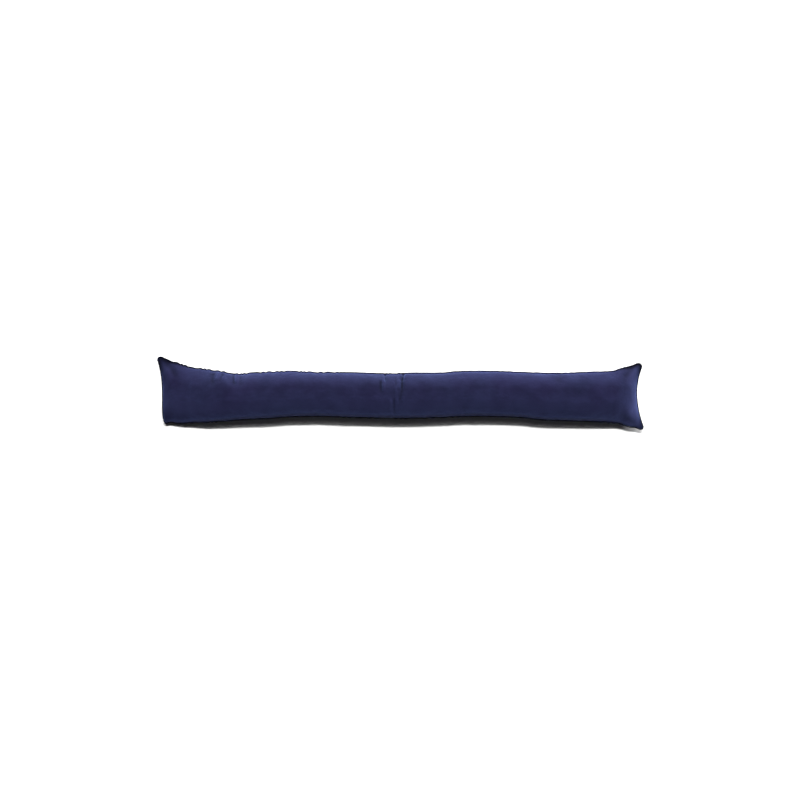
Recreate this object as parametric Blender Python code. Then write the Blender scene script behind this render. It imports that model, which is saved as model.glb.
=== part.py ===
"""Stuffed velvet draught excluder: a long filled tube with a rolled seam and four drawn-out corners.

Two long panels are sewn together all round and stuffed, and the cushion lies on its back panel.
Metres, +Z up. X runs along the length, +Y is the far long seam, and the origin is at the centre of
the box's underside, on the surface that the cushion lies on.
"""

import functools
import math
from collections import namedtuple

import bmesh
import bpy

# Driving dimensions
LENGTH = 0.900  # of the whole cushion's box, along X
WIDTH = 0.137  # of that box, along Y, where the corners reach furthest
TUBE_RADIUS = 0.0405  # of the round tube that the two panels would make with no load on it
SEAM_LIP = 0.0022  # how far the rolled seam stands out of the body
SEAM_THICKNESS = 0.0026
SEAM_ROUNDING = 0.25  # share of its thickness that the lip's rim is drawn in by, on each side
END_SEAM_HEIGHT = 0.025  # of the end seams above the surface, where the stuffing thins out
SETTLE = 0.0035  # how far the weight presses the underside in where it lies
SETTLE_EDGE = 0.0010  # softness of the edge of the flat that it lies on
HEIGHT_BLEND = 0.006  # softness of the change from the lying stretch to the lifted ends
CORNER_LENGTH = 0.0045  # of the rounding of the body's blunt corners along X, inside the seam's lip
CORNER_DEPTH = 0.0075  # of the same rounding across, seen from above
CORNER_FLARE = 0.030  # how far from an end the curve of the end seam still bends the panel
LENS_MIDDLE = 1.04  # 1 is an elliptical section, more draws it to a point at the seams
LENS_END = 1.60  # the same, at the end seams
LENS_REACH = 0.120  # how far from an end the section is drawn more to a point
WIDTH_REACH = 0.045  # the thickness follows the width averaged this far each way

# Panel grid
ACROSS = 14  # steps from seam to seam, on each panel
PROFILE_STEPS = 40
BISECTIONS = 24
ARC_STEPS = 5  # stations round each corner's arc
Band = namedtuple("Band", "until step")  # spacing of the stations along X, up to a place
BANDS = (
    Band(until=-0.372, step=0.0052),
    Band(until=-0.292, step=0.0058),
    Band(until=-0.050, step=0.0110),
    Band(until=0.016, step=0.0030),
    Band(until=0.374, step=0.0110),
    Band(until=1.0, step=0.0052),
)

# The outline from above: the two long seams, at stations along X. The first and last rows are where
# the corners would be if their tips weren't blunt
Station = namedtuple("Station", "along far near")
OUTLINE = (
    Station(along=-0.452, far=0.0722, near=-0.0565),
    Station(along=-0.440, far=0.0673, near=-0.0574),
    Station(along=-0.428, far=0.0620, near=-0.0550),
    Station(along=-0.413, far=0.0573, near=-0.0566),
    Station(along=-0.398, far=0.0523, near=-0.0556),
    Station(along=-0.384, far=0.0488, near=-0.0544),
    Station(along=-0.354, far=0.0449, near=-0.0531),
    Station(along=-0.324, far=0.0407, near=-0.0508),
    Station(along=-0.302, far=0.0371, near=-0.0491),
    Station(along=-0.283, far=0.0383, near=-0.0477),
    Station(along=-0.243, far=0.0410, near=-0.0459),
    Station(along=-0.205, far=0.0420, near=-0.0430),
    Station(along=-0.150, far=0.0403, near=-0.0420),
    Station(along=-0.094, far=0.0401, near=-0.0438),
    Station(along=-0.020, far=0.0379, near=-0.0456),
    Station(along=0.017, far=0.0392, near=-0.0457),
    Station(along=0.073, far=0.0394, near=-0.0441),
    Station(along=0.110, far=0.0422, near=-0.0424),
    Station(along=0.166, far=0.0426, near=-0.0422),
    Station(along=0.222, far=0.0405, near=-0.0444),
    Station(along=0.259, far=0.0392, near=-0.0484),
    Station(along=0.296, far=0.0388, near=-0.0499),
    Station(along=0.350, far=0.0407, near=-0.0517),
    Station(along=0.392, far=0.0425, near=-0.0544),
    Station(along=0.404, far=0.0464, near=-0.0565),
    Station(along=0.426, far=0.0520, near=-0.0634),
    Station(along=0.437, far=0.0562, near=-0.0645),
    Station(along=0.455, far=0.0612, near=-0.0755),
)

# The two end seams: where the waist and the two corners stand along X, which share of the way from
# the centre line to the far seam the waist is at, how long the nose is, and how much higher the
# corners lie than the rest of the end
EndSeam = namedtuple("EndSeam", "middle waist far_corner near_corner nose far_lift near_lift")
LEFT = EndSeam(
    middle=-0.4405,
    waist=0.0,
    far_corner=-0.4480,
    near_corner=-0.4405,
    nose=0.100,
    far_lift=0.006,
    near_lift=-0.005,
)
RIGHT = EndSeam(
    middle=0.4353,
    waist=0.17,
    far_corner=0.4438,
    near_corner=0.4488,
    nose=0.052,
    far_lift=0.003,
    near_lift=-0.006,
)
CORNER_LIFT_REACH = 0.080  # how far from an end the corners' lift still bends the panel

# Pulled creases in the face panel, each a soft trough from one place to another, seen from above
Crease = namedtuple("Crease", "x0 y0 x1 y1 width depth")
CREASES = (
    Crease(x0=-0.0285, y0=0.0390, x1=-0.0362, y1=0.0060, width=0.0042, depth=0.0024),
    Crease(x0=0.0060, y0=0.0390, x1=-0.0050, y1=-0.0130, width=0.0042, depth=0.0032),
    Crease(x0=-0.0125, y0=-0.0020, x1=-0.0120, y1=-0.0400, width=0.0042, depth=0.0022),
    Crease(x0=-0.3110, y0=0.0370, x1=-0.3080, y1=0.0150, width=0.0060, depth=0.0024),
    Crease(x0=-0.3310, y0=0.0400, x1=-0.3430, y1=0.0200, width=0.0055, depth=0.0022),
    Crease(x0=-0.3510, y0=0.0420, x1=-0.3500, y1=0.0160, width=0.0055, depth=0.0020),
    Crease(x0=-0.1540, y0=-0.0430, x1=-0.1600, y1=-0.0300, width=0.0070, depth=0.0016),
    Crease(x0=0.1170, y0=-0.0430, x1=0.1150, y1=-0.0150, width=0.0070, depth=0.0016),
    Crease(x0=0.2900, y0=0.0390, x1=0.2860, y1=0.0180, width=0.0090, depth=0.0018),
    Crease(x0=-0.4360, y0=0.0560, x1=-0.4080, y1=0.0270, width=0.0060, depth=0.0022),
    Crease(x0=0.4330, y0=-0.0560, x1=0.3990, y1=-0.0330, width=0.0060, depth=0.0022),
    Crease(x0=0.4300, y0=0.0480, x1=0.4060, y1=0.0240, width=0.0060, depth=0.0020),
)
CREASE_START = (-0.25, 0.10)  # share of its length over which a crease deepens
CREASE_END = (0.45, 1.10)  # share of its length over which it fades out
CREASED_RISE = 0.016  # the tube's half-thickness from which a crease has its whole depth
THINNEST_RISE = 0.004  # half-thickness below which the face counts as level

# Slow unevenness of the stuffing, as waves along the length
Lump = namedtuple("Lump", "wavelength height phase")
LUMPS = (
    Lump(wavelength=0.310, height=0.0011, phase=0.6),
    Lump(wavelength=0.137, height=0.0007, phase=2.1),
    Lump(wavelength=0.083, height=0.0004, phase=4.0),
)
LUMP_SLANT = 0.8  # phase, in radians, that the waves lag by from the crown to a seam

VELVET = (0.030, 0.031, 0.088, 1.0)


def clear_scene():
    for old in list(bpy.data.objects):
        bpy.data.objects.remove(old)


def smooth_step(value, low, high):
    """0 below low, 1 above high, with a soft change between."""
    t = min(max((value - low) / (high - low), 0.0), 1.0)
    return t * t * (3.0 - 2.0 * t)


def smooth_max(a, b, softness):
    return 0.5 * (a + b + math.sqrt((a - b) ** 2 + softness**2))


def along_table(rows, place, column):
    """A column of OUTLINE at a place along X, on a smooth curve through the rows."""
    place = min(max(place, rows[0].along), rows[-1].along)
    i = 0
    while i < len(rows) - 2 and place > rows[i + 1].along:
        i += 1

    def slope(k):
        before, after = rows[max(k - 1, 0)], rows[min(k + 1, len(rows) - 1)]
        return (getattr(after, column) - getattr(before, column)) / (after.along - before.along)

    a, b = rows[i], rows[i + 1]
    span = b.along - a.along
    t = (place - a.along) / span
    start, end = getattr(a, column), getattr(b, column)
    return (
        start * (2 * t**3 - 3 * t**2 + 1)
        + end * (3 * t**2 - 2 * t**3)
        + slope(i) * span * (t**3 - 2 * t**2 + t)
        + slope(i + 1) * span * (t**3 - t**2)
    )


def stations():
    """Places along X, from one end seam's waist to the other's, closer together round the corners
    and where the cloth creases."""
    turns = [0.5 * math.pi * k / ARC_STEPS for k in range(ARC_STEPS + 1)]
    arc = [CORNER_LENGTH * (1.0 - math.cos(turn)) for turn in turns]
    places = [LEFT.middle + step for step in arc]
    for band in BANDS:
        start, end = places[-1], min(band.until, RIGHT.middle - CORNER_LENGTH)
        count = max(1, round((end - start) / band.step))
        places += [start + (end - start) * (k + 1) / count for k in range(count)]
    return places + [RIGHT.middle - step for step in reversed(arc[:-1])]


def profile(turn, lens):
    """Height of a section as a share of its rise. turn is -90 degrees at the near seam, 90 at the far."""
    return max(math.cos(turn), 0.0) ** lens


def panel_width(half_width, rise, lens):
    """The width of cloth that spans a section from seam to seam."""
    turns = [math.pi * (k / PROFILE_STEPS - 0.5) for k in range(PROFILE_STEPS + 1)]
    points = [(half_width * math.sin(turn), rise * profile(turn, lens)) for turn in turns]
    return sum(math.dist(a, b) for a, b in zip(points, points[1:]))


def from_end(place):
    return min(abs(place - LEFT.middle), abs(place - RIGHT.middle))


def lens_at(place):
    return LENS_END + (LENS_MIDDLE - LENS_END) * smooth_step(from_end(place), 0.0, LENS_REACH)


def corner_pull(place):
    """How far the long seams are drawn in beside an end, which rounds the tips of its corners."""
    inside = min(from_end(place) / CORNER_LENGTH, 1.0)
    return CORNER_DEPTH * (1.0 - math.sqrt(inside * (2.0 - inside)))


def seams_at(place):
    """Y of the body's two sides at a station, inside the seam's lip."""
    drawn_in = SEAM_LIP + corner_pull(place)
    far = along_table(OUTLINE, place + end_shift(place, 1.0), "far") - drawn_in
    near = along_table(OUTLINE, place + end_shift(place, -1.0), "near") + drawn_in
    return far, near


@functools.cache
def rise_at(place):
    """Half the thickness at a station. The same width of cloth spans every section, so it is thin
    where it is wide, and the stuffing rounds it off at the nose."""
    around = [place + step for step in (-WIDTH_REACH, 0.0, WIDTH_REACH)]
    first, last = LEFT.middle + CORNER_LENGTH, RIGHT.middle - CORNER_LENGTH
    around = [min(max(spot, first), last) for spot in around]
    half_width = sum(far - near for far, near in map(seams_at, around)) / (2 * len(around))
    low, high = 0.0, 1.5 * TUBE_RADIUS
    for _ in range(BISECTIONS):
        middle = 0.5 * (low + high)
        if panel_width(half_width, middle, lens_at(place)) < math.pi * TUBE_RADIUS:
            low = middle
        else:
            high = middle
    return low * nose(place)


def end_shift(place, side):
    """How far along X the end seams' curves move a point. side is its Y as a share of the half width,
    from -1 at the near seam to 1 at the far one."""
    shift = 0.0
    for end in (LEFT, RIGHT):
        weight = max(0.0, 1.0 - abs(place - end.middle) / CORNER_FLARE) ** 2
        if side > end.waist:
            corner, seam = end.far_corner, 1.0
        else:
            corner, seam = end.near_corner, -1.0
        from_waist = (side - end.waist) / (seam - end.waist)
        shift += weight * (corner - end.middle) * from_waist**2
    return shift


def nose(place):
    """How full the tube is near its ends: 0 at an end seam, 1 past its nose."""
    full = 1.0
    for end in (LEFT, RIGHT):
        t = min(abs(place - end.middle) / end.nose, 1.0)
        full *= math.sqrt(1.0 - (1.0 - t) ** 2)
    return full


def corner_lift(place, across):
    """The corners don't lie level: each is a little higher or lower than its end seam."""
    lift = 0.0
    for end in (LEFT, RIGHT):
        weight = 1.0 - smooth_step(abs(place - end.middle), 0.0, CORNER_LIFT_REACH)
        corner = end.far_lift if across > 0 else end.near_lift
        lift += weight * corner * abs(across) ** 3
    return lift


def crease_depth(x, y):
    """How deep the creases draw the face panel in at a place."""
    depth = 0.0
    for crease in CREASES:
        run_x, run_y = crease.x1 - crease.x0, crease.y1 - crease.y0
        length = math.hypot(run_x, run_y)
        t = ((x - crease.x0) * run_x + (y - crease.y0) * run_y) / length**2
        off = ((x - crease.x0) * run_y - (y - crease.y0) * run_x) / length
        fade = smooth_step(t, *CREASE_START) * (1.0 - smooth_step(t, *CREASE_END))
        depth += crease.depth * fade * math.exp(-((off / crease.width) ** 2))
    return depth


def lump_height(x, phase_shift):
    return sum(
        lump.height * math.sin(2 * math.pi * x / lump.wavelength + lump.phase + phase_shift)
        for lump in LUMPS
    )


def resting(z):
    """z where the underside lies on the surface: flat at 0, with a soft edge round the flat."""
    if z <= -SETTLE_EDGE:
        return 0.0
    if z >= SETTLE_EDGE:
        return z
    return (z + SETTLE_EDGE) ** 2 / (4 * SETTLE_EDGE)


def section_point(place, across, upper):
    """A point of a panel. across runs from -1, the near seam, to 1, the far seam."""
    far, near = seams_at(place)
    centre, half = 0.5 * (far + near), 0.5 * (far - near)
    rise = rise_at(place)
    turn = 0.5 * math.pi * across
    x = place + end_shift(place, math.sin(turn))
    y = centre + half * math.sin(turn)
    bulge = rise * profile(turn, lens_at(place))
    seam_z = smooth_max(rise - SETTLE, END_SEAM_HEIGHT, HEIGHT_BLEND)
    seam_z += corner_lift(place, across)
    if not upper:
        return x, y, resting(seam_z - 0.5 * SEAM_THICKNESS - bulge)

    crown = (rise / TUBE_RADIUS) * math.cos(turn) ** 2
    swell = crown * lump_height(x, LUMP_SLANT * across)
    swell -= min(1.0, rise / CREASED_RISE) * crease_depth(x, y)
    normal_y = math.sin(turn) / half
    normal_z = math.cos(turn) / max(rise, THINNEST_RISE)
    length = math.hypot(normal_y, normal_z)
    y += swell * normal_y / length * math.cos(turn)
    z = seam_z + 0.5 * SEAM_THICKNESS + bulge + swell * normal_z / length
    return x, y, z


def add_panel(mesh, places, upper):
    """One panel as a grid, with its outer edge on the seam. Returns its boundary edges."""
    made = bmesh.ops.create_grid(mesh, x_segments=len(places) - 1, y_segments=ACROSS, size=1.0)
    verts = made["verts"]
    for vert in verts:
        along = round((vert.co.x + 1.0) / 2.0 * (len(places) - 1))
        across = round(vert.co.y * ACROSS / 2.0) * 2.0 / ACROSS
        vert.co = section_point(places[along], across, upper)
    edges = {edge for vert in verts for edge in vert.link_edges}
    if not upper:
        bmesh.ops.reverse_faces(mesh, faces=list({face for vert in verts for face in vert.link_faces}))
    return [edge for edge in edges if edge.is_boundary]


def outward(vert, edges):
    """The level direction that points out of the panel at a vertex of its boundary."""
    inside = [e.other_vert(vert) for e in vert.link_edges if e not in edges]
    ring = [e.other_vert(vert) for e in vert.link_edges if e in edges]
    run = ring[1].co - ring[0].co
    side = run.cross((0.0, 0.0, 1.0))
    side.z = 0.0
    side.normalize()
    core = inside[0].co if inside else 0.5 * (ring[0].co + ring[1].co)
    return side if side.dot(vert.co - core) > 0 else -side


def add_seam_lip(mesh, upper_edges, lower_edges):
    """The rolled seam: each panel's edge goes a little way out, and the two are joined at its rim."""
    rims = []
    for edges, down in ((upper_edges, -1.0), (lower_edges, 1.0)):
        ring = set(edges)
        inner = {vert for edge in edges for vert in edge.verts}
        step = {vert.co.copy().freeze(): outward(vert, ring) * SEAM_LIP for vert in inner}
        made = bmesh.ops.extrude_edge_only(mesh, edges=edges)["geom"]
        for vert in (item for item in made if isinstance(item, bmesh.types.BMVert)):
            vert.co += step[vert.co.copy().freeze()]
            vert.co.z += down * SEAM_ROUNDING * SEAM_THICKNESS
        rims += [item for item in made if isinstance(item, bmesh.types.BMEdge) and item.is_boundary]
    bmesh.ops.bridge_loops(mesh, edges=rims)


def velvet():
    material = bpy.data.materials.new("navy_velvet")
    material.use_nodes = True
    shader = material.node_tree.nodes["Principled BSDF"]
    shader.inputs["Base Color"].default_value = VELVET
    shader.inputs["Roughness"].default_value = 0.85
    shader.inputs["Metallic"].default_value = 0.0
    return material


def fit_box(mesh):
    """Fits the plan to its stated length and width, with its middle over the origin. The underside
    is at 0 already."""
    for axis, size in ((0, LENGTH), (1, WIDTH)):
        low = min(vert.co[axis] for vert in mesh.verts)
        high = max(vert.co[axis] for vert in mesh.verts)
        for vert in mesh.verts:
            vert.co[axis] = (vert.co[axis] - 0.5 * (low + high)) * size / (high - low)


def cushion(collection):
    places = stations()
    mesh = bmesh.new()
    upper_edges = add_panel(mesh, places, upper=True)
    lower_edges = add_panel(mesh, places, upper=False)
    add_seam_lip(mesh, upper_edges, lower_edges)
    bmesh.ops.recalc_face_normals(mesh, faces=mesh.faces)
    fit_box(mesh)
    data = bpy.data.meshes.new("cushion")
    mesh.to_mesh(data)
    mesh.free()
    data.shade_smooth()
    data.materials.append(velvet())
    collection.objects.link(bpy.data.objects.new("cushion", data))


def main():
    clear_scene()
    collection = bpy.data.collections.new("draught_excluder")
    bpy.context.scene.collection.children.link(collection)
    cushion(collection)


main()
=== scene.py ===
"""Looks of a stuffed velvet draught excluder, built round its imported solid.

The cushion is two long panels sewn together all round. It has the solid's outline and sections on a
finer grid. A short cloth simulation fills the panels out between their held seam, and then come the
pulled folds, the rolled seam and the velvet. Metres, +Z up. X runs along the length, +Y is the far
long seam, and the cushion lies on its back panel.
"""

import math
from collections import namedtuple

import bpy
import numpy as np
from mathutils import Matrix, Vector


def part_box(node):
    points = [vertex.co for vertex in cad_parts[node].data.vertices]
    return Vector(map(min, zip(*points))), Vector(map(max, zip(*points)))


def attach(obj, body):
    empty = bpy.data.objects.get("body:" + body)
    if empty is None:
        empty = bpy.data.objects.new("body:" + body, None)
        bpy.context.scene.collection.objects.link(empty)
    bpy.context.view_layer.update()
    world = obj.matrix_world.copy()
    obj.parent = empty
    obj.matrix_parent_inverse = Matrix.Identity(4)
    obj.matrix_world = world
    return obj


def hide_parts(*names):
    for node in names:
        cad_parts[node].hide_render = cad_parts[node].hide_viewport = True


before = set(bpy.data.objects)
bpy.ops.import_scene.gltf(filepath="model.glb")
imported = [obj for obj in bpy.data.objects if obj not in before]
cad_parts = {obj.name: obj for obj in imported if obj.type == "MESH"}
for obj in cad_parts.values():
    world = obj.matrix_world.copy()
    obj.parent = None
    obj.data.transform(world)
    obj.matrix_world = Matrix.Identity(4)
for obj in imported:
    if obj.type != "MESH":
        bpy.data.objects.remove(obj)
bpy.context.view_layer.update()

# The tube
TUBE_RADIUS = 0.0405  # of the round tube that the two panels would make with no load on it
SEAM_LIP = 0.0022  # how far the rolled seam stands out of the body
SEAM_THICKNESS = 0.0026
END_SEAM_HEIGHT = 0.025  # of the end seams above the surface, where the stuffing thins out
SETTLE = 0.0035  # how far the weight presses the underside in where it lies
SETTLE_EDGE = 0.0010  # softness of the edge of the flat that it lies on
HEIGHT_BLEND = 0.006  # softness of the change from the lying stretch to the lifted ends
CORNER_LENGTH = 0.0045  # of the rounding of the body's blunt corners along X, inside the seam's lip
CORNER_DEPTH = 0.0075  # of the same rounding across, seen from above
CORNER_FLARE = 0.030  # how far from an end the curve of the end seam still bends the panel
LENS_MIDDLE = 1.04  # 1 is an elliptical section, more draws it to a point at the seams
LENS_END = 1.60  # the same, at the end seams
LENS_REACH = 0.120  # how far from an end the section is drawn more to a point
WIDTH_REACH = 0.045  # the thickness follows the width averaged this far each way

# The outline from above: the two long seams, at stations along X. The first and last rows are where
# the corners would be if their tips weren't blunt
Station = namedtuple("Station", "along far near")
OUTLINE = (
    Station(along=-0.452, far=0.0722, near=-0.0565),
    Station(along=-0.440, far=0.0673, near=-0.0574),
    Station(along=-0.428, far=0.0620, near=-0.0550),
    Station(along=-0.413, far=0.0573, near=-0.0566),
    Station(along=-0.398, far=0.0523, near=-0.0556),
    Station(along=-0.384, far=0.0488, near=-0.0544),
    Station(along=-0.354, far=0.0449, near=-0.0531),
    Station(along=-0.324, far=0.0407, near=-0.0508),
    Station(along=-0.302, far=0.0371, near=-0.0491),
    Station(along=-0.283, far=0.0383, near=-0.0477),
    Station(along=-0.243, far=0.0410, near=-0.0459),
    Station(along=-0.205, far=0.0420, near=-0.0430),
    Station(along=-0.150, far=0.0403, near=-0.0420),
    Station(along=-0.094, far=0.0401, near=-0.0438),
    Station(along=-0.020, far=0.0379, near=-0.0456),
    Station(along=0.017, far=0.0392, near=-0.0457),
    Station(along=0.073, far=0.0394, near=-0.0441),
    Station(along=0.110, far=0.0422, near=-0.0424),
    Station(along=0.166, far=0.0426, near=-0.0422),
    Station(along=0.222, far=0.0405, near=-0.0444),
    Station(along=0.259, far=0.0392, near=-0.0484),
    Station(along=0.296, far=0.0388, near=-0.0499),
    Station(along=0.350, far=0.0407, near=-0.0517),
    Station(along=0.392, far=0.0425, near=-0.0544),
    Station(along=0.404, far=0.0464, near=-0.0565),
    Station(along=0.426, far=0.0520, near=-0.0634),
    Station(along=0.437, far=0.0562, near=-0.0645),
    Station(along=0.455, far=0.0612, near=-0.0755),
)

# The two end seams: where the waist and the two corners stand along X, which share of the way from
# the centre line to the far seam the waist is at, how long the nose is, and how much higher the
# corners lie than the rest of the end
EndSeam = namedtuple("EndSeam", "middle waist far_corner near_corner nose far_lift near_lift")
LEFT = EndSeam(
    middle=-0.4405,
    waist=0.0,
    far_corner=-0.4480,
    near_corner=-0.4405,
    nose=0.100,
    far_lift=0.006,
    near_lift=-0.013,  # lower than the solid's, because it lies nearly on the surface
)
RIGHT = EndSeam(
    middle=0.4353,
    waist=0.17,
    far_corner=0.4438,
    near_corner=0.4488,
    nose=0.052,
    far_lift=0.003,
    near_lift=-0.006,
)
CORNER_LIFT_REACH = 0.080  # how far from an end the corners' lift still bends the panel

# Slow unevenness of the stuffing, as waves along the length
Lump = namedtuple("Lump", "wavelength height phase")
LUMPS = (
    Lump(wavelength=0.310, height=0.0011, phase=0.6),
    Lump(wavelength=0.137, height=0.0007, phase=2.1),
    Lump(wavelength=0.083, height=0.0004, phase=4.0),
    Lump(wavelength=0.047, height=0.0003, phase=1.1),
)
LUMP_SLANT = 0.8  # phase, in radians, that the waves lag by from the crown to a seam

# The grid of a panel before it is made finer, and the cloth simulation that fills it out
ALONG, ACROSS = 272, 38
ARC_STEPS = 5  # stations round each corner's arc
FINE_PLACES = 4000
Close = namedtuple("Close", "middle reach share")  # where the stations stand closer together
CLOSER = (
    Close(middle=-0.4380, reach=0.012, share=1.2),
    Close(middle=-0.3300, reach=0.035, share=0.5),
    Close(middle=-0.0150, reach=0.036, share=1.4),
    Close(middle=0.4360, reach=0.012, share=1.2),
)
PROFILE_STEPS = 40
BISECTIONS = 24
NO_LENGTH = 1e-12  # the least length that anything is divided by
START_RISE = 0.97  # share of its thickness that the cushion starts the simulation with
PRESSURE = 4.0
FRAMES = 20
LYING_SPARE = 0.0002  # the cloth that is no higher than this above the flat is held
MOST_MOVE = 0.006
SLACK = 0.05  # how much longer the cloth is than the seam that holds it, where it puckers most

# Shares of that slack: everywhere, at the left, where the middle's folds start, and at both ends
SLACK_ALL = 0.25
SLACK_LEFT = 0.5
SLACK_FOLDS = 0.6
SLACK_ENDS = 0.5
LEFT_STRETCH = (-0.12, 0.02)  # where, along X, the left's share fades out
FOLDS_MIDDLE = -0.010
FOLDS_REACH = 0.050
ENDS_STRETCH = (0.36, 0.44)  # where, away from the middle, the ends' share comes in

# Folds pulled into the face panel, each a soft trough from one place to another, seen from above. A
# depth below zero is a ridge
Fold = namedtuple("Fold", "x0 y0 x1 y1 width depth")
FOLDS = (
    Fold(x0=-0.0293, y0=0.0400, x1=-0.0268, y1=0.0200, width=0.0028, depth=0.0026),
    Fold(x0=-0.0372, y0=0.0240, x1=-0.0362, y1=0.0020, width=0.0032, depth=0.0024),
    Fold(x0=-0.0318, y0=0.0270, x1=-0.0306, y1=0.0010, width=0.0028, depth=-0.0015),
    Fold(x0=0.0052, y0=0.0400, x1=0.0014, y1=0.0240, width=0.0030, depth=0.0027),
    Fold(x0=0.0020, y0=0.0280, x1=0.0016, y1=0.0030, width=0.0032, depth=0.0030),
    Fold(x0=0.0012, y0=0.0060, x1=-0.0046, y1=-0.0170, width=0.0030, depth=0.0016),
    Fold(x0=-0.0040, y0=0.0260, x1=-0.0044, y1=0.0090, width=0.0026, depth=-0.0016),
    Fold(x0=-0.0105, y0=0.0310, x1=-0.0095, y1=0.0140, width=0.0026, depth=0.0010),
    Fold(x0=0.0092, y0=0.0370, x1=0.0088, y1=0.0280, width=0.0026, depth=-0.0009),
    Fold(x0=-0.0130, y0=-0.0100, x1=-0.0122, y1=-0.0440, width=0.0032, depth=0.0012),
    Fold(x0=-0.0180, y0=-0.0100, x1=-0.0176, y1=-0.0420, width=0.0026, depth=-0.0013),
    Fold(x0=-0.0086, y0=0.0100, x1=-0.0088, y1=-0.0280, width=0.0026, depth=-0.0012),
    Fold(x0=-0.0450, y0=-0.0020, x1=-0.0445, y1=-0.0180, width=0.0036, depth=-0.0007),
    Fold(x0=-0.3452, y0=0.0385, x1=-0.3428, y1=0.0140, width=0.0045, depth=0.0018),
    Fold(x0=-0.3330, y0=0.0390, x1=-0.3350, y1=0.0240, width=0.0034, depth=-0.0030),
    Fold(x0=-0.3268, y0=0.0375, x1=-0.3328, y1=0.0220, width=0.0040, depth=0.0016),
    Fold(x0=-0.3248, y0=0.0300, x1=-0.3088, y1=0.0120, width=0.0045, depth=-0.0013),
    Fold(x0=-0.3074, y0=0.0350, x1=-0.3028, y1=0.0130, width=0.0034, depth=0.0022),
    Fold(x0=-0.3024, y0=0.0350, x1=-0.2988, y1=0.0210, width=0.0030, depth=-0.0020),
    Fold(x0=-0.2939, y0=0.0310, x1=-0.2903, y1=0.0120, width=0.0040, depth=0.0012),
    Fold(x0=-0.1540, y0=-0.0400, x1=-0.1600, y1=-0.0290, width=0.0050, depth=0.0010),
    Fold(x0=0.1170, y0=-0.0400, x1=0.1150, y1=-0.0150, width=0.0050, depth=0.0009),
    Fold(x0=0.2900, y0=0.0360, x1=0.2860, y1=0.0180, width=0.0080, depth=0.0012),
    Fold(x0=-0.4340, y0=0.0560, x1=-0.4080, y1=0.0270, width=0.0060, depth=0.0018),
    Fold(x0=-0.4300, y0=0.0470, x1=-0.4220, y1=0.0100, width=0.0060, depth=-0.0012),
    Fold(x0=0.4330, y0=-0.0560, x1=0.3990, y1=-0.0330, width=0.0060, depth=0.0018),
    Fold(x0=0.4280, y0=0.0480, x1=0.4040, y1=0.0240, width=0.0060, depth=0.0018),
    Fold(x0=0.4220, y0=0.0200, x1=0.4230, y1=-0.0200, width=0.0050, depth=-0.0012),
)
FOLD_START = (-0.20, 0.15)  # share of its length over which a fold deepens
FOLD_END = (0.55, 1.10)  # share of its length over which it fades out
FOLD_PAINTED_SHADE = 300.0  # painted shade down a fold's valley: how dark it is, for each metre of its depth
RIDGE_PAINTED_LIGHT = 50.0  # painted highlight on a fold's ridge: how much lighter the base colour is, for each metre of its height
FOLD_FREE = 0.006  # how far from the seam a fold reaches its depth

# The cloth gathers a little along its long seams: ripples from one place to another
Gather = namedtuple("Gather", "side x0 x1 pitch depth reach")
GATHERS = (
    Gather(side=1, x0=-0.440, x1=-0.100, pitch=0.0135, depth=0.00080, reach=0.010),
    Gather(side=1, x0=-0.042, x1=0.014, pitch=0.0085, depth=0.00050, reach=0.014),
    Gather(side=1, x0=0.060, x1=0.380, pitch=0.0230, depth=0.00020, reach=0.012),
    Gather(side=-1, x0=-0.420, x1=-0.300, pitch=0.0160, depth=0.00030, reach=0.010),
    Gather(side=-1, x0=-0.150, x1=0.120, pitch=0.0190, depth=0.00025, reach=0.010),
    Gather(side=-1, x0=0.360, x1=0.440, pitch=0.0120, depth=0.00040, reach=0.010),
)
GATHER_FADE = 0.020  # how softly each stretch of ripples begins and ends
GATHER_DRIFT = 0.35  # how unevenly the ripples are spaced, as a share of their pitch
DRIFT_WAVES = (0.37, 0.23)  # turns of the two waves of that drift, for each ripple

# The rolled seam: rings outside a panel's edge, from the body to the groove between the two panels
Ring = namedtuple("Ring", "out up")
ROLL = (
    Ring(out=0.0007, up=0.00150),
    Ring(out=0.0014, up=0.00140),
    Ring(out=0.0020, up=0.00095),
    Ring(out=0.0021, up=0.00045),
    Ring(out=0.0012, up=0.0),
)

# How dark the rolled seam is painted, 0 to 1, at stations along X: partly parted pile, partly painted shade
SeamShade = namedtuple("SeamShade", "along far near")
SEAM_SHADES = (
    SeamShade(along=-0.450, far=1.0, near=1.0),
    SeamShade(along=-0.400, far=1.0, near=0.8),
    SeamShade(along=-0.350, far=0.9, near=0.2),
    SeamShade(along=-0.260, far=0.8, near=0.0),
    SeamShade(along=-0.200, far=0.5, near=0.0),
    SeamShade(along=-0.100, far=0.9, near=0.1),
    SeamShade(along=0.130, far=0.7, near=0.1),
    SeamShade(along=0.180, far=0.4, near=0.0),
    SeamShade(along=0.385, far=0.4, near=0.2),
    SeamShade(along=0.415, far=1.0, near=0.9),
    SeamShade(along=0.450, far=1.0, near=1.0),
)
SEAM_REACH = 0.0021  # how far the shade spreads onto the cloth beside the long seams
CORNER_REACH = 0.0070  # the same, at the tips of the corners, where the dark band is painted shade
GROOVE_SHADE = 0.4  # painted shade in the groove between the two panels: how dark it is where the pile isn't parted
GROOVE_START = 0.7  # share of the way round the rolled seam where the groove's shade begins
PARTED_SEAM = 0.15  # where the seam is painted darker than this, the rolled seam has hardly any sheen, so its shade stays dark
TIP_REACH = 0.040  # how far from an end the seam counts as a corner's tip
TIP_SIDES = (0.020, 0.050)  # how far from the centre line a tip's painted shade begins and is whole
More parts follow.
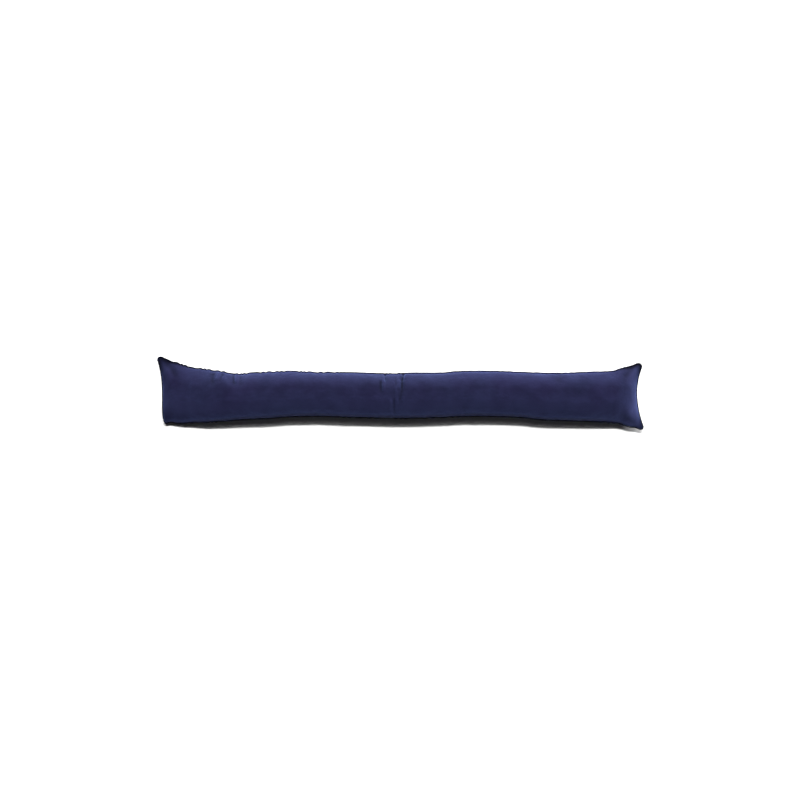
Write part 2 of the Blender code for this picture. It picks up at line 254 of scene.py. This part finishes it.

# Painted light and shade in the base colour, 0 to 1: lighter and darker across the face, from the near
# seam at -1 to the far one at 1, and then painted light in patches, seen from above
PaintedLightAcross = namedtuple("PaintedLightAcross", "side light")
PAINTED_LIGHT_ACROSS = (
    PaintedLightAcross(side=-1.00, light=0.03),
    PaintedLightAcross(side=-0.80, light=0.09),
    PaintedLightAcross(side=-0.65, light=0.23),
    PaintedLightAcross(side=-0.48, light=0.31),
    PaintedLightAcross(side=-0.30, light=0.29),
    PaintedLightAcross(side=-0.12, light=0.18),
    PaintedLightAcross(side=0.10, light=0.07),
    PaintedLightAcross(side=0.35, light=0.01),
    PaintedLightAcross(side=0.60, light=0.09),
    PaintedLightAcross(side=0.80, light=0.19),
    PaintedLightAcross(side=1.00, light=0.18),
)
BACK_LIGHT = 0.18
# Painted light: lighter patches of base colour at the two ends
PaintedLightPatch = namedtuple("PaintedLightPatch", "x y along across light")
PAINTED_LIGHT_PATCHES = (
    PaintedLightPatch(x=0.4300, y=0.0050, along=0.0130, across=0.0700, light=0.32),
    PaintedLightPatch(x=0.4300, y=0.0400, along=0.0120, across=0.0200, light=0.10),
    PaintedLightPatch(x=0.4340, y=-0.0450, along=0.0160, across=0.0260, light=0.85),
    PaintedLightPatch(x=-0.4300, y=0.0520, along=0.0160, across=0.0150, light=0.07),
    PaintedLightPatch(x=-0.4000, y=-0.0150, along=0.0450, across=0.0500, light=0.06),
)

# Velvet
# The base colour runs from NAVY_DARK to NAVY_LIGHT by the painted light and shade
NAVY_DARK = (0.0016, 0.0024, 0.0085)
NAVY_LIGHT = (0.0298, 0.0352, 0.0956)
NAVY_PURPLE = (0.0090, 0.0062, 0.0235)
PURPLE_SHARE = 0.30
PATCHES = 0.26  # how much the smaller patches change the painted light and shade, at random
PARTED_PILE_AND_SHADE = (0.0012, 0.0012, 0.0030)  # the dark colour at the seam, in the groove and down the folds: parted pile and painted shade
NAP_SHEEN = (0.236, 0.318, 0.845)
SHEEN = 0.22
# the seam's copy of the velvet has less sheen, so that the painted seam shade stays dark
SEAM_SHEEN = 0.05
SHEEN_ROUGHNESS = 0.50
SPECULAR = 0.03
ROUGHNESS = (0.78, 0.98)
PATCH_SCALE = 18.0  # cells to a metre
STROKE_SCALE = 42.0
PILE_SCALE = 1400.0
TUFT_HEIGHT = 0.0026
PILE_HEIGHT = 0.0006
PILE_STRENGTH = 0.35

# Camera and light
PIXEL = 0.001842  # real size of one of the photograph's pixels at the height of the seam
FRAME_PIXELS = 800
CENTRE_PIXEL = (401.20, 393.65)  # where the middle of the cushion stands in the photograph
CAMERA_DISTANCE = 2.8
CAMERA_TILT = 3.0  # degrees, from straight above towards the far seam
SENSOR = 36.0
FILL = 0.034
FLOOR_RADIUS = 1.9  # as far as the lamps still light it white
FLOOR_CORNERS = 96
FLOOR_DROP = 0.0002  # how far the floor lies under the cushion
FLOOR_GREY = 0.66
BACKDROP_RADIUS = 16.0
LIT_HEIGHT = 0.04  # of the place that the lamps face

# The lamps, by their direction from the cushion in degrees: azimuth from +X towards +Y
Softbox = namedtuple("Softbox", "name azimuth elevation distance width height power")
SOFTBOXES = (
    Softbox(name="key", azimuth=88.0, elevation=67.0, distance=6.0, width=2.4, height=0.32, power=620.0),
    Softbox(name="low_back", azimuth=82.0, elevation=15.0, distance=5.0, width=3.0, height=0.8, power=700.0),
    Softbox(name="right", azimuth=35.0, elevation=50.0, distance=5.0, width=1.0, height=0.8, power=60.0),
    Softbox(name="overhead", azimuth=90.0, elevation=72.5, distance=5.0, width=1.6, height=0.8, power=36.0),
)


def smooth_step(value, low, high):
    """0 below low, 1 above high, with a soft change between."""
    t = np.clip((value - low) / (high - low), 0.0, 1.0)
    return t * t * (3.0 - 2.0 * t)


def smooth_max(a, b, softness):
    return 0.5 * (a + b + np.sqrt((a - b) ** 2 + softness**2))


def along_table(column, places):
    """A column of OUTLINE at places along X, on a smooth curve through the rows."""
    along = np.array([row.along for row in OUTLINE])
    values = np.array([getattr(row, column) for row in OUTLINE])
    before = np.maximum(np.arange(len(along)) - 1, 0)
    after = np.minimum(np.arange(len(along)) + 1, len(along) - 1)
    slopes = (values[after] - values[before]) / (along[after] - along[before])
    places = np.clip(places, along[0], along[-1])
    i = np.clip(np.searchsorted(along, places) - 1, 0, len(along) - 2)
    span = along[i + 1] - along[i]
    t = (places - along[i]) / span
    return (
        values[i] * (2 * t**3 - 3 * t**2 + 1)
        + values[i + 1] * (3 * t**2 - 2 * t**3)
        + slopes[i] * span * (t**3 - 2 * t**2 + t)
        + slopes[i + 1] * span * (t**3 - t**2)
    )


def end_shift(places, side):
    """How far along X the end seams' curves move a point. side is its Y as a share of the half width,
    from -1 at the near seam to 1 at the far one."""
    shift = 0.0
    for end in (LEFT, RIGHT):
        weight = np.maximum(0.0, 1.0 - np.abs(places - end.middle) / CORNER_FLARE) ** 2
        corner = np.where(side > end.waist, end.far_corner, end.near_corner)
        from_waist = (side - end.waist) / np.where(side > end.waist, 1.0 - end.waist, -1.0 - end.waist)
        shift = shift + weight * (corner - end.middle) * from_waist**2
    return shift


def from_end(places):
    return np.minimum(np.abs(places - LEFT.middle), np.abs(places - RIGHT.middle))


def corner_pull(places):
    """How far the long seams are drawn in beside an end, which rounds the tips of its corners."""
    inside = np.minimum(from_end(places) / CORNER_LENGTH, 1.0)
    return CORNER_DEPTH * (1.0 - np.sqrt(inside * (2.0 - inside)))


def corner_lift(places, across):
    """The corners don't lie level: each is a little higher or lower than its end seam."""
    lift = 0.0
    for end in (LEFT, RIGHT):
        weight = 1.0 - smooth_step(np.abs(places - end.middle), 0.0, CORNER_LIFT_REACH)
        corner = np.where(across > 0, end.far_lift, end.near_lift)
        lift = lift + weight * corner * np.abs(across) ** 3
    return lift


def nose(places):
    """How full the tube is near its ends: 0 at an end seam, 1 past its nose."""
    full = 1.0
    for end in (LEFT, RIGHT):
        t = np.minimum(np.abs(places - end.middle) / end.nose, 1.0)
        full = full * np.sqrt(1.0 - (1.0 - t) ** 2)
    return full


def seams_at(places):
    """Y of the body's two sides at stations, inside the seam's lip."""
    drawn_in = SEAM_LIP + corner_pull(places)
    far = along_table("far", places + end_shift(places, 1.0)) - drawn_in
    near = along_table("near", places + end_shift(places, -1.0)) + drawn_in
    return far, near


def lens_at(places):
    return LENS_END + (LENS_MIDDLE - LENS_END) * smooth_step(from_end(places), 0.0, LENS_REACH)


def rise_at(places):
    """Half the thickness at stations: the same width of cloth spans every section, so the cushion is
    thin where it is wide, and the stuffing rounds it off at the nose."""
    half_width = 0.0
    first, last = LEFT.middle + CORNER_LENGTH, RIGHT.middle - CORNER_LENGTH
    for step in (-WIDTH_REACH, 0.0, WIDTH_REACH):
        far, near = seams_at(np.clip(places + step, first, last))
        half_width = half_width + (far - near) / 6
    turns = np.linspace(-0.5 * math.pi, 0.5 * math.pi, PROFILE_STEPS + 1)
    profile = np.maximum(np.cos(turns), 0.0) ** lens_at(places)[:, None]
    steps_y = np.diff(half_width[:, None] * np.sin(turns))
    low, high = np.zeros(len(places)), np.full(len(places), 1.5 * TUBE_RADIUS)
    for _ in range(BISECTIONS):
        middle = 0.5 * (low + high)
        width = np.hypot(steps_y, np.diff(middle[:, None] * profile)).sum(axis=1)
        short = width < math.pi * TUBE_RADIUS
        low, high = np.where(short, middle, low), np.where(short, high, middle)
    return low * nose(places)


def resting(z, floor):
    """z where the underside lies on the surface: flat at the floor, with a soft edge round the flat."""
    above = z - floor
    soft = (above + SETTLE_EDGE) ** 2 / (4 * SETTLE_EDGE)
    settled = np.where(above <= -SETTLE_EDGE, 0.0, np.where(above >= SETTLE_EDGE, above, soft))
    return floor + settled


def stations():
    """Places along X from one end seam to the other: round the corners' arcs, then closer together
    where the cloth folds."""
    arc = CORNER_LENGTH * (1.0 - np.cos(np.linspace(0.0, 0.5 * math.pi, ARC_STEPS + 1)))
    fine = np.linspace(LEFT.middle + CORNER_LENGTH, RIGHT.middle - CORNER_LENGTH, FINE_PLACES)
    density = 1.0 + sum(
        close.share * np.exp(-(((fine - close.middle) / close.reach) ** 2)) for close in CLOSER
    )
    count = np.concatenate([[0.0], np.cumsum(0.5 * (density[1:] + density[:-1]))])
    between = np.interp(np.linspace(0.0, count[-1], ALONG - 2 * ARC_STEPS + 1), count, fine)
    return np.concatenate([LEFT.middle + arc[:-1], between, RIGHT.middle - arc[-2::-1]])


def lump_height(x, phase_shift):
    turns = [2.0 * math.pi * x / lump.wavelength + lump.phase + phase_shift for lump in LUMPS]
    return sum(lump.height * np.sin(turn) for lump, turn in zip(LUMPS, turns))


def start_panels():
    """The face and the back panel as grids of points that share their edge, half a seam apart from
    where they end up, and a little less full."""
    places = stations()
    across = np.linspace(-1.0, 1.0, ACROSS + 1)[None, :]
    far, near = seams_at(places)
    centre, half = (0.5 * (far + near))[:, None], (0.5 * (far - near))[:, None]
    rise, lens = rise_at(places)[:, None], lens_at(places)[:, None]
    places = places[:, None]
    turn = 0.5 * math.pi * across
    x = places + end_shift(places, np.sin(turn))
    y = centre + half * np.sin(turn)
    bulge = START_RISE * rise * np.maximum(np.cos(turn), 0.0) ** lens
    seam_z = smooth_max(rise - SETTLE, END_SEAM_HEIGHT, HEIGHT_BLEND) + corner_lift(places, across)
    swell = rise / TUBE_RADIUS * np.cos(turn) ** 2 * lump_height(x, LUMP_SLANT * across)
    face = np.stack([x, y, seam_z + bulge + swell], axis=2)
    back = np.stack([x, y, resting(seam_z - bulge, 0.5 * SEAM_THICKNESS)], axis=2)
    border = border_of(face)
    back[border] = face[border]
    return face, back


def border_of(grid):
    """True at the grid's edge points."""
    border = np.ones(grid.shape[:2], bool)
    border[1:-1, 1:-1] = False
    return border


def grid_quads(numbers):
    """Faces of a grid of point numbers, looking up."""
    corners = [numbers[:-1, :-1], numbers[1:, :-1], numbers[1:, 1:], numbers[:-1, 1:]]
    return np.stack(corners, axis=2).reshape(-1, 4)


def closed_mesh(name, face, back):
    """One closed mesh from two grids of points that share their edge, and the grids' point numbers."""
    border = border_of(face)
    face_numbers = np.arange(border.size).reshape(border.shape)
    back_numbers = face_numbers.copy()
    back_numbers[~border] = border.size + np.arange((~border).sum())
    points = np.concatenate([face.reshape(-1, 3), back[~border]])
    quads = np.concatenate([grid_quads(face_numbers), grid_quads(back_numbers)[:, ::-1]])
    mesh = bpy.data.meshes.new(name)
    mesh.from_pydata(points.tolist(), [], quads.tolist())
    mesh.validate()
    mesh.shade_smooth()
    return mesh, face_numbers, back_numbers


def points_of(mesh):
    points = np.empty(len(mesh.vertices) * 3, np.float32)
    mesh.vertices.foreach_get("co", points)
    return points.reshape(-1, 3).astype(float)


def slack_at(points):
    """How slack the cloth is against its seam, as a share of SLACK."""
    x = points[:, 0]
    left = 1.0 - smooth_step(x, *LEFT_STRETCH)
    folds = np.exp(-(((x - FOLDS_MIDDLE) / FOLDS_REACH) ** 2))
    ends = smooth_step(np.abs(x), *ENDS_STRETCH)
    share = SLACK_ALL + SLACK_LEFT * left + SLACK_FOLDS * folds + SLACK_ENDS * ends
    return np.clip(share, 0.0, 1.0)


def filled_out(face, back):
    """The panels after a cloth simulation that presses them out from inside, with the seam and the
    flat underside held."""
    mesh, face_numbers, back_numbers = closed_mesh("filling", face, back)
    start = points_of(mesh)
    cloth = bpy.data.objects.new("filling", mesh)
    bpy.context.scene.collection.objects.link(cloth)
    held = cloth.vertex_groups.new(name="held")
    lying = np.flatnonzero(start[:, 2] < 0.5 * SEAM_THICKNESS + LYING_SPARE)
    edge = face_numbers[border_of(face)]
    held.add(np.union1d(lying, edge).tolist(), 1.0, "REPLACE")
    slack = cloth.vertex_groups.new(name="slack")
    for number, weight in enumerate(slack_at(start)):
        slack.add([number], float(weight), "REPLACE")

    modifier = cloth.modifiers.new("cloth", "CLOTH")
    settings = modifier.settings
    settings.quality = 6
    settings.mass = 0.25
    settings.tension_stiffness = 20.0
    settings.compression_stiffness = 20.0
    settings.shear_stiffness = 8.0
    settings.bending_stiffness = 0.4
    settings.air_damping = 1.0
    settings.use_pressure = True
    settings.uniform_pressure_force = PRESSURE
    settings.vertex_group_mass = "held"
    settings.pin_stiffness = 1.0
    settings.vertex_group_shrink = "slack"
    settings.shrink_min = 0.0
    settings.shrink_max = -SLACK
    settings.effector_weights.gravity = 0.0
    modifier.point_cache.frame_start = 1
    modifier.point_cache.frame_end = FRAMES
    for step in range(1, FRAMES + 1):
        bpy.context.scene.frame_set(step)
    graph = bpy.context.evaluated_depsgraph_get()
    moved = points_of(cloth.evaluated_get(graph).data) - start
    bpy.context.scene.frame_set(1)
    bpy.data.objects.remove(cloth)

    length = np.linalg.norm(moved, axis=1, keepdims=True)
    moved *= np.minimum(1.0, MOST_MOVE / np.maximum(length, NO_LENGTH))
    end = start + moved
    return end[face_numbers], end[back_numbers]


def halved(grid, axis):
    """The grid with a point added midway between each two along an axis. The new point is on the
    smooth curve through the four points round it, with weights of 9 and -1 in 16."""
    rows = np.moveaxis(grid, axis, 0)
    padded = np.concatenate([2 * rows[:1] - rows[1:2], rows, 2 * rows[-1:] - rows[-2:-1]])
    middles = (9 * (padded[1:-2] + padded[2:-1]) - padded[:-3] - padded[3:]) / 16
    finer = np.empty((2 * len(rows) - 1, *rows.shape[1:]))
    finer[0::2] = rows
    finer[1::2] = middles
    return np.moveaxis(finer, 0, axis)


def fold_depth(x, y):
    """How deep the folds draw the face panel in."""
    depth = np.zeros_like(x)
    for fold in FOLDS:
        run_x, run_y = fold.x1 - fold.x0, fold.y1 - fold.y0
        length = math.hypot(run_x, run_y)
        t = ((x - fold.x0) * run_x + (y - fold.y0) * run_y) / length**2
        off = ((x - fold.x0) * run_y - (y - fold.y0) * run_x) / length
        fade = smooth_step(t, *FOLD_START) * (1.0 - smooth_step(t, *FOLD_END))
        depth += fold.depth * fade * np.exp(-((off / fold.width) ** 2))
    return depth


def normals_of(grid):
    normals = np.cross(np.gradient(grid, axis=0), np.gradient(grid, axis=1))
    return normals / np.maximum(np.linalg.norm(normals, axis=2, keepdims=True), NO_LENGTH)


def folded(face):
    """The face panel with its folds pressed in along its own normals. The seam holds the edge."""
    free = smooth_step(seam_distance(face), 0.0, FOLD_FREE)
    return face - normals_of(face) * (free * fold_depth(face[..., 0], face[..., 1]))[..., None]


def from_near_seam(panel):
    """How far each point of the panel lies from the near long seam along the cloth."""
    steps = np.linalg.norm(np.diff(panel, axis=1), axis=2)
    return np.concatenate([np.zeros((len(panel), 1)), np.cumsum(steps, axis=1)], axis=1)


def gathered(panel, up):
    """The panel with its ripples along the long seams. At the seam they move it in and out. up is 1
    for the face and -1 for the back."""
    from_near = from_near_seam(panel)
    x = panel[..., 0]
    normals = up * normals_of(panel)
    push = np.zeros(x.shape)
    for gather in GATHERS:
        window = smooth_step(x, gather.x0, gather.x0 + GATHER_FADE)
        window = window * (1.0 - smooth_step(x, gather.x1 - GATHER_FADE, gather.x1))
        turn = 2.0 * math.pi * x / gather.pitch
        drift = GATHER_DRIFT * sum(np.sin(share * turn) for share in DRIFT_WAVES)
        ripple = np.cos(turn + 2.0 * math.pi * drift)
        distance = from_near if gather.side < 0 else from_near[:, -1:] - from_near
        push = push + gather.depth * window * ripple * np.exp(-distance / gather.reach)
    moved = panel + normals * push[..., None]
    for column, side in ((0, -1.0), (-1, 1.0)):
        moved[:, column] = panel[:, column]
        moved[:, column, 1] += side * push[:, column]
    return moved


def loop_of(numbers):
    """The edge of a grid of numbers as one loop, anticlockwise seen from above."""
    return np.concatenate([numbers[:-1, 0], numbers[-1, :-1], numbers[:0:-1, -1], numbers[0, :0:-1]])


def outward(loop):
    """Level directions that point out of an anticlockwise loop of points."""
    ahead = np.roll(loop, -1, axis=0) - loop
    ahead /= np.linalg.norm(ahead, axis=1, keepdims=True)
    run = ahead + np.roll(ahead, 1, axis=0)
    out = np.stack([run[:, 1], -run[:, 0], np.zeros(len(run))], axis=1)
    return out / np.linalg.norm(out, axis=1, keepdims=True)


def sewn(face, back):
    """The cover as one closed mesh: two panels, and between them the rolled seam with its groove. Gives
    its points, its faces, and each point's distance from the panels' edge, where points of the rolled
    seam count down from 0 to -1 in the groove."""
    numbers = np.arange(face[..., 0].size).reshape(face.shape[:2])
    loop = loop_of(numbers)
    edge = face.reshape(-1, 3)[loop]
    out = outward(edge)
    raised = np.array([0.0, 0.0, 0.5 * SEAM_THICKNESS])
    points = [face.reshape(-1, 3) + raised, back.reshape(-1, 3) - raised]
    distances = [seam_distance(face).ravel()] * 2
    quads = [grid_quads(numbers), grid_quads(numbers + numbers.size)[:, ::-1]]

    count = 2 * numbers.size
    groove = count + np.arange(len(loop))
    points.append(edge + out * ROLL[-1].out)
    distances.append(np.full(len(loop), -1.0))
    count += len(loop)
    for up, start, order in ((1.0, loop, 1), (-1.0, loop + numbers.size, -1)):
        inner = start
        for ring, step in enumerate(ROLL[:-1], start=1):
            outer = count + np.arange(len(loop))
            count += len(loop)
            points.append(edge + out * step.out + np.array([0.0, 0.0, up * step.up]))
            distances.append(np.full(len(loop), -ring / len(ROLL)))
            quads.append(strip(inner, outer)[:, ::order])
            inner = outer
        quads.append(strip(inner, groove)[:, ::order])
    return np.concatenate(points), np.concatenate(quads), np.concatenate(distances)


def strip(inner, outer):
    """Faces between two loops of point numbers, looking up."""
    return np.stack([inner, outer, np.roll(outer, -1), np.roll(inner, -1)], axis=1)


def seam_distance(panel):
    """How far each point of the panel lies from its edge along the cloth."""
    steps_along = np.linalg.norm(np.diff(panel, axis=0), axis=2)
    from_left = np.concatenate([np.zeros((1, panel.shape[1])), np.cumsum(steps_along, axis=0)])
    from_near = from_near_seam(panel)
    distance = np.minimum(from_left, from_left[-1] - from_left)
    return np.minimum(distance, np.minimum(from_near, from_near[:, -1:] - from_near))


def parted(points):
    """How dark the seam is painted beside each point, from SEAM_SHADES: parted pile and painted shade."""
    along = [row.along for row in SEAM_SHADES]
    far = np.interp(points[:, 0], along, [row.far for row in SEAM_SHADES])
    near = np.interp(points[:, 0], along, [row.near for row in SEAM_SHADES])
    return np.where(points[:, 1] > 0.0, far, near)


def painted_light(face):
    """The painted light and shade of the base colour at each point of the face panel."""
    x, y = face[..., 0], face[..., 1]
    middle, half = 0.5 * (y[:, :1] + y[:, -1:]), 0.5 * (y[:, -1:] - y[:, :1])
    # painted light and shade across the face, from the near seam to the far one
    light = np.interp((y - middle) / half, [row.side for row in PAINTED_LIGHT_ACROSS], [row.light for row in PAINTED_LIGHT_ACROSS])
    # painted highlight on the folds' ridges
    light = light + RIDGE_PAINTED_LIGHT * np.maximum(-fold_depth(x, y), 0.0)
    # painted light in patches at the ends
    for patch in PAINTED_LIGHT_PATCHES:
        off_x, off_y = (x - patch.x) / patch.along, (y - patch.y) / patch.across
        light = light + patch.light * np.exp(-(off_x**2) - off_y**2)
    return light.ravel()


def seam_groove_fold_shade(points, distances, face_count):
    """How dark each point is painted, from 0 on the open cloth to 1 in the groove: parted pile at the
    seam, and painted shade in the groove, at the tips and down the folds' valleys. The first points are
    the face panel's, which has folds."""
    x, y = points[:, 0], points[:, 1]
    strength = parted(points)
    # painted shade at the corner tips, in a wider band
    tip = 1.0 - smooth_step(from_end(x), 0.0, TIP_REACH)
    reach = SEAM_REACH + tip * (CORNER_REACH - SEAM_REACH) * smooth_step(np.abs(y), *TIP_SIDES)
    on_cloth = strength * np.exp(-((np.maximum(distances, 0.0) / reach) ** 2))
    # painted shade in the groove between the panels
    groove_shade = GROOVE_SHADE + (1.0 - GROOVE_SHADE) * strength
    in_groove = smooth_step(-distances, GROOVE_START, 1.0) * groove_shade
    shade = np.maximum(on_cloth, in_groove)
    # painted shade down the folds' valleys
    in_folds = FOLD_PAINTED_SHADE * fold_depth(x[:face_count], y[:face_count])
    shade[:face_count] = np.maximum(shade[:face_count], np.clip(in_folds, 0.0, 1.0))
    return shade


def fit_to_solid(points):
    """Moves and stretches the plan to the solid's box."""
    low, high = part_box("cushion")
    for axis in (0, 1):
        least, most = points[:, axis].min(), points[:, axis].max()
        size = high[axis] - low[axis]
        points[:, axis] = low[axis] + (points[:, axis] - least) * size / (most - least)
    return points


def noise_texture(tree, place, scale, detail, name):
    noise = tree.nodes.new("ShaderNodeTexNoise")
    noise.name = name
    noise.inputs["Scale"].default_value = scale
    noise.inputs["Detail"].default_value = detail
    tree.links.new(place, noise.inputs["Vector"])
    return noise.outputs["Fac"]


def read_value(tree, name):
    """A value that the mesh holds at each of its points."""
    value = tree.nodes.new("ShaderNodeAttribute")
    value.attribute_name = name
    return value.outputs["Fac"]


def math_node(tree, operation, *values):
    """A math node. Each value is a number or another node's output."""
    node = tree.nodes.new("ShaderNodeMath")
    node.operation = operation
    for socket, value in zip(node.inputs, values):
        if isinstance(value, float):
            socket.default_value = value
        else:
            tree.links.new(value, socket)
    return node


def mixed(tree, factor, first, second):
    """A mix of two colours. The first is a colour or another node's output."""
    mix = tree.nodes.new("ShaderNodeMix")
    mix.data_type = "RGBA"
    tree.links.new(factor, mix.inputs["Factor"])
    if isinstance(first, tuple):
        mix.inputs["A"].default_value = (*first, 1.0)
    else:
        tree.links.new(first, mix.inputs["A"])
    mix.inputs["B"].default_value = (*second, 1.0)
    return mix.outputs["Result"]


def bumped(tree, height, distance, strength):
    bump = tree.nodes.new("ShaderNodeBump")
    bump.inputs["Strength"].default_value = strength
    bump.inputs["Distance"].default_value = distance
    tree.links.new(height, bump.inputs["Height"])
    return bump


def velvet(name, sheen):
    """Short-pile navy velvet: a dark base with a blue sheen, brushed patches, painted light and shade
    read from the mesh, and a dark seam colour that is partly parted pile and partly painted shade."""
    material = bpy.data.materials.new(name)
    material.use_nodes = True
    tree = material.node_tree
    shader = tree.nodes["Principled BSDF"]
    place = tree.nodes.new("ShaderNodeTexCoord").outputs["Object"]
    patches = noise_texture(tree, place, PATCH_SCALE, 4.0, "brushed patches")
    strokes = noise_texture(tree, place, STROKE_SCALE, 3.0, "brush strokes")
    pile = noise_texture(tree, place, PILE_SCALE, 2.0, "pile")

    # The base colour's level: the painted light and shade held on the mesh, with random brush strokes
    painted_level = math_node(tree, "MULTIPLY_ADD", strokes, PATCHES, read_value(tree, "painted_light"))
    level = math_node(tree, "SUBTRACT", painted_level.outputs["Value"], 0.5 * PATCHES)
    level.use_clamp = True
    navy = mixed(tree, level.outputs["Value"], NAVY_DARK, NAVY_LIGHT)
    purple = math_node(tree, "MULTIPLY", patches, 2.0 * PURPLE_SHARE)
    tone = mixed(tree, purple.outputs["Value"], navy, NAVY_PURPLE)
    # Darker towards the seam colour: parted pile at the seam, painted shade in the groove, tips and folds
    colour = mixed(tree, read_value(tree, "parted_pile_and_shade"), tone, PARTED_PILE_AND_SHADE)
    tree.links.new(colour, shader.inputs["Base Color"])

    tufts = bumped(tree, strokes, TUFT_HEIGHT, 1.0)
    surface = bumped(tree, pile, PILE_HEIGHT, PILE_STRENGTH)
    tree.links.new(tufts.outputs["Normal"], surface.inputs["Normal"])
    tree.links.new(surface.outputs["Normal"], shader.inputs["Normal"])

    rough = tree.nodes.new("ShaderNodeMapRange")
    rough.inputs["To Min"].default_value, rough.inputs["To Max"].default_value = ROUGHNESS
    tree.links.new(patches, rough.inputs["Value"])
    tree.links.new(rough.outputs["Result"], shader.inputs["Roughness"])
    shader.inputs["Specular IOR Level"].default_value = SPECULAR
    shader.inputs["Sheen Weight"].default_value = sheen
    shader.inputs["Sheen Roughness"].default_value = SHEEN_ROUGHNESS
    shader.inputs["Sheen Tint"].default_value = (*NAP_SHEEN, 1.0)
    return material


def hold_values(mesh, name, values):
    """Gives the mesh a value at each of its points, for its materials to read."""
    mesh.attributes.new(name, "FLOAT", "POINT").data.foreach_set("value", values.astype(np.float32))


def cover_mesh():
    """The cover's mesh, with the values that its materials read and its two materials."""
    face, back = start_panels()
    face, back = filled_out(face, back)
    face, back = (halved(halved(panel, 0), 1) for panel in (face, back))
    face, back = gathered(folded(face), 1.0), gathered(back, -1.0)
    points, quads, distances = sewn(face, back)
    points[:, 2] = np.maximum(points[:, 2], 0.0)
    points = fit_to_solid(points)
    mesh = bpy.data.meshes.new("cushion_cover")
    mesh.from_pydata(points.tolist(), [], quads.tolist())
    mesh.shade_smooth()
    face_lights = painted_light(face)
    lights = np.full(len(points), PAINTED_LIGHT_ACROSS[0].light)
    lights[: 2 * len(face_lights)] = BACK_LIGHT
    lights[: len(face_lights)] = face_lights
    hold_values(mesh, "parted_pile_and_shade", seam_groove_fold_shade(points, distances, len(face_lights)))
    hold_values(mesh, "painted_light", lights)
    mesh.update()
    mesh.materials.append(velvet("velvet_panels", SHEEN))
    # a copy of the velvet with less sheen, where the seam is painted dark
    mesh.materials.append(velvet("velvet_seam", SEAM_SHEEN))
    on_seam = ((distances[quads] < 0.0) & (parted(points)[quads] > PARTED_SEAM)).any(axis=1)
    mesh.polygons.foreach_set("material_index", on_seam.astype(np.int32))
    return mesh


def make_cushion():
    cushion = bpy.data.objects.new("cushion_cover", cover_mesh())
    bpy.context.scene.collection.objects.link(cushion)
    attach(cushion, "root")
    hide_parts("cushion")


def aim(obj, target):
    """Turns a lamp towards a place."""
    obj.rotation_euler = (Vector(target) - obj.location).to_track_quat("-Z", "Y").to_euler()


def add_camera():
    """Above the cushion, so that it stands where it does in the photograph."""
    data = bpy.data.cameras.new("camera")
    camera = bpy.data.objects.new("camera", data)
    bpy.context.scene.collection.objects.link(camera)
    seam_height = TUBE_RADIUS - SETTLE
    target = Vector(
        (
            (0.5 * FRAME_PIXELS - CENTRE_PIXEL[0]) * PIXEL,
            (CENTRE_PIXEL[1] - 0.5 * FRAME_PIXELS) * PIXEL,
            seam_height,
        )
    )
    tilt = math.radians(CAMERA_TILT)
    camera.location = target + CAMERA_DISTANCE * Vector((0.0, math.sin(tilt), math.cos(tilt)))
    camera.rotation_euler = (-tilt, 0.0, 0.0)
    data.sensor_width = SENSOR
    data.lens = SENSOR * CAMERA_DISTANCE / (FRAME_PIXELS * PIXEL)
    bpy.context.scene.camera = camera


def add_softbox(name, location, target, size, power):
    data = bpy.data.lights.new(name, "AREA")
    data.shape = "RECTANGLE"
    data.size, data.size_y = size
    data.energy = power
    lamp = bpy.data.objects.new(name, data)
    bpy.context.scene.collection.objects.link(lamp)
    lamp.location = location
    aim(lamp, target)


def add_stage():
    """A plain pale floor, and a plain white backdrop far behind it that lights nothing."""
    paper = bpy.data.materials.new("white_paper")
    paper.use_nodes = True
    shader = paper.node_tree.nodes["Principled BSDF"]
    shader.inputs["Base Color"].default_value = (FLOOR_GREY, FLOOR_GREY, FLOOR_GREY, 1.0)
    shader.inputs["Roughness"].default_value = 0.9
    bpy.ops.mesh.primitive_circle_add(
        vertices=FLOOR_CORNERS,
        radius=FLOOR_RADIUS,
        fill_type="NGON",
        location=(0.0, 0.0, -FLOOR_DROP),
    )
    floor = bpy.context.object
    floor.name = "floor"
    floor.data.materials.append(paper)

    white = bpy.data.materials.new("white_backdrop")
    white.use_nodes = True
    glow = white.node_tree.nodes.new("ShaderNodeEmission")
    output = white.node_tree.nodes["Material Output"]
    white.node_tree.links.new(glow.outputs["Emission"], output.inputs["Surface"])
    bpy.ops.mesh.primitive_uv_sphere_add(segments=48, ring_count=24, radius=BACKDROP_RADIUS)
    backdrop = bpy.context.object
    backdrop.name = "backdrop"
    backdrop.data.materials.append(white)
    for ray in ("visible_diffuse", "visible_glossy", "visible_transmission", "visible_shadow"):
        setattr(backdrop, ray, False)


def add_light():
    """Soft light from the top of the picture and a little from the right, with next to no fill."""
    middle = Vector((0.0, 0.0, LIT_HEIGHT))
    for box in SOFTBOXES:
        east, up = math.radians(box.azimuth), math.radians(box.elevation)
        direction = Vector((math.cos(east) * math.cos(up), math.sin(east) * math.cos(up), math.sin(up)))
        add_softbox(box.name, middle + box.distance * direction, middle, (box.width, box.height), box.power)
    world = bpy.data.worlds.new("studio")
    world.use_nodes = True
    background = world.node_tree.nodes["Background"]
    background.inputs["Color"].default_value = (1.0, 1.0, 1.0, 1.0)
    background.inputs["Strength"].default_value = FILL
    bpy.context.scene.world = world
    bpy.context.scene.view_settings.view_transform = "Standard"


add_camera()
add_stage()
add_light()
make_cushion()
